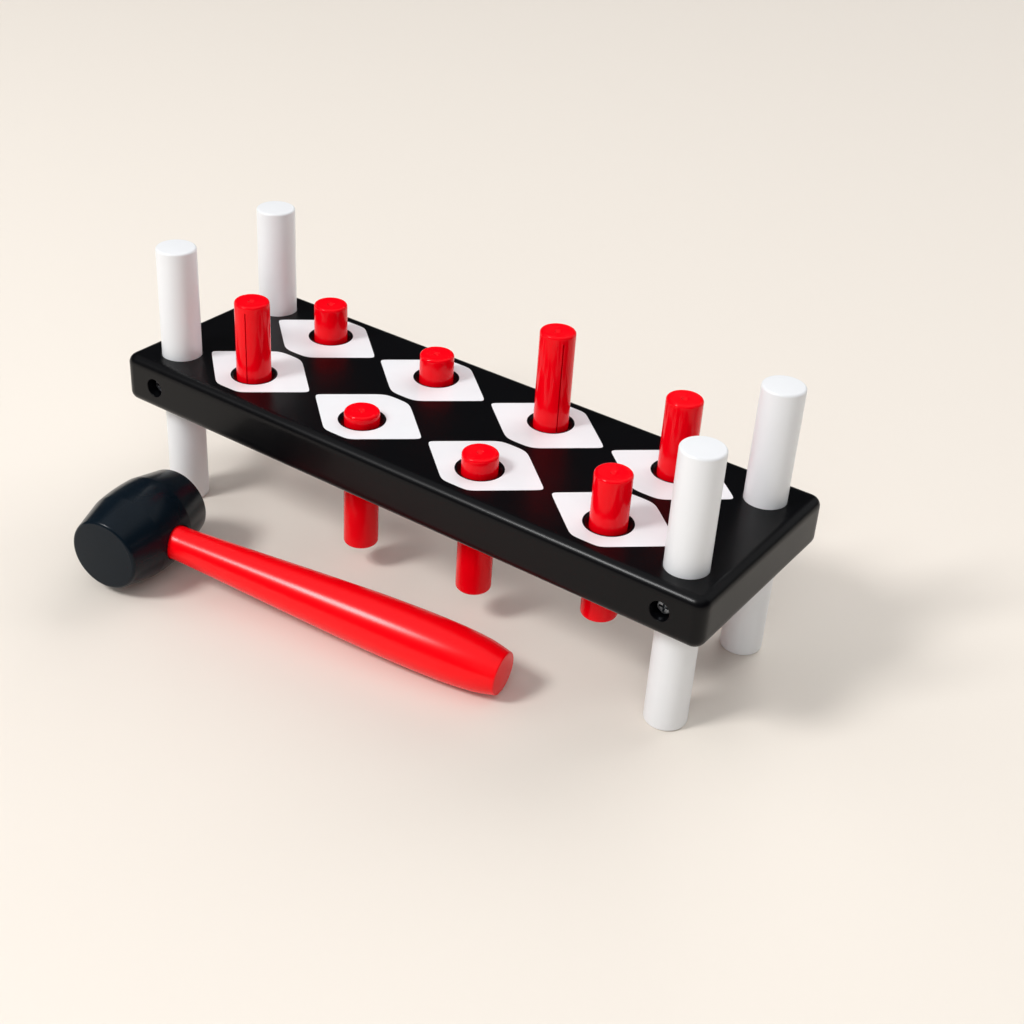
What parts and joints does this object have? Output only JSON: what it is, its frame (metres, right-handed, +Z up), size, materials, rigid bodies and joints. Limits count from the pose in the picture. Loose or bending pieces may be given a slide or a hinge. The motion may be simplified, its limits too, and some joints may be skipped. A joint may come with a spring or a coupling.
{
  "type": "pounding bench",
  "caption": "Toddler's pounding bench: a thick board on round legs that stand out above and below it, pegs that slide through its holes, and a loose mallet in front.",
  "frame": {"origin": "middle of the footprint of the bench and its mallet together, on the floor", "axes": "+X along the board to the right, +Y to the rear, +Z up; the mallet lies in front of the board, at -Y"},
  "size_m": [0.32, 0.1784, 0.133],
  "materials": {
    "board_lacquer": "gloss black lacquer on beech",
    "leg_lacquer": "satin white lacquer on beech dowel",
    "screw_steel": "zinc-plated wood screw",
    "peg_lacquer": "gloss red lacquer on beech dowel",
    "head_rubber": "satin black moulded rubber",
    "handle_lacquer": "gloss red lacquer on turned beech"
  },
  "bodies": {
    "bench": {"board": "board_lacquer", "leg_front_left": "leg_lacquer", "leg_front_right": "leg_lacquer", "leg_rear_left": "leg_lacquer", "leg_rear_right": "leg_lacquer", "leg_screw_front_left": "screw_steel", "leg_screw_front_right": "screw_steel", "leg_screw_rear_left": "screw_steel", "leg_screw_rear_right": "screw_steel"},
    "peg_front_1": {"peg_front_1": "peg_lacquer"},
    "peg_front_2": {"peg_front_2": "peg_lacquer"},
    "peg_front_3": {"peg_front_3": "peg_lacquer"},
    "peg_front_4": {"peg_front_4": "peg_lacquer"},
    "peg_rear_1": {"peg_rear_1": "peg_lacquer"},
    "peg_rear_2": {"peg_rear_2": "peg_lacquer"},
    "peg_rear_3": {"peg_rear_3": "peg_lacquer"},
    "peg_rear_4": {"peg_rear_4": "peg_lacquer"},
    "mallet": {"mallet_head": "head_rubber", "mallet_handle": "handle_lacquer"}
  },
  "joints": [
    {"name": "peg_front_1_slide", "type": "slide", "parent": "bench", "child": "peg_front_1", "axis": [0, 0, 1], "range_m": [-0.038, 0.0085]},
    {"name": "peg_front_2_slide", "type": "slide", "parent": "bench", "child": "peg_front_2", "axis": [0, 0, 1], "range_m": [-0.0048, 0.0417]},
    {"name": "peg_front_3_slide", "type": "slide", "parent": "bench", "child": "peg_front_3", "axis": [0, 0, 1], "range_m": [-0.0084, 0.0381]},
    {"name": "peg_front_4_slide", "type": "slide", "parent": "bench", "child": "peg_front_4", "axis": [0, 0, 1], "range_m": [-0.0245, 0.022]},
    {"name": "peg_rear_1_slide", "type": "slide", "parent": "bench", "child": "peg_rear_1", "axis": [0, 0, 1], "range_m": [-0.0177, 0.0288]},
    {"name": "peg_rear_2_slide", "type": "slide", "parent": "bench", "child": "peg_rear_2", "axis": [0, 0, 1], "range_m": [-0.0128, 0.0337]},
    {"name": "peg_rear_3_slide", "type": "slide", "parent": "bench", "child": "peg_rear_3", "axis": [0, 0, 1], "range_m": [-0.0465, 0]},
    {"name": "peg_rear_4_slide", "type": "slide", "parent": "bench", "child": "peg_rear_4", "axis": [0, 0, 1], "range_m": [-0.0364, 0.0101]},
    {"name": "mallet_lift", "type": "slide", "parent": "bench", "child": "mallet", "axis": [0, 0, 1], "range_m": [0, 0.2]}
  ]
}
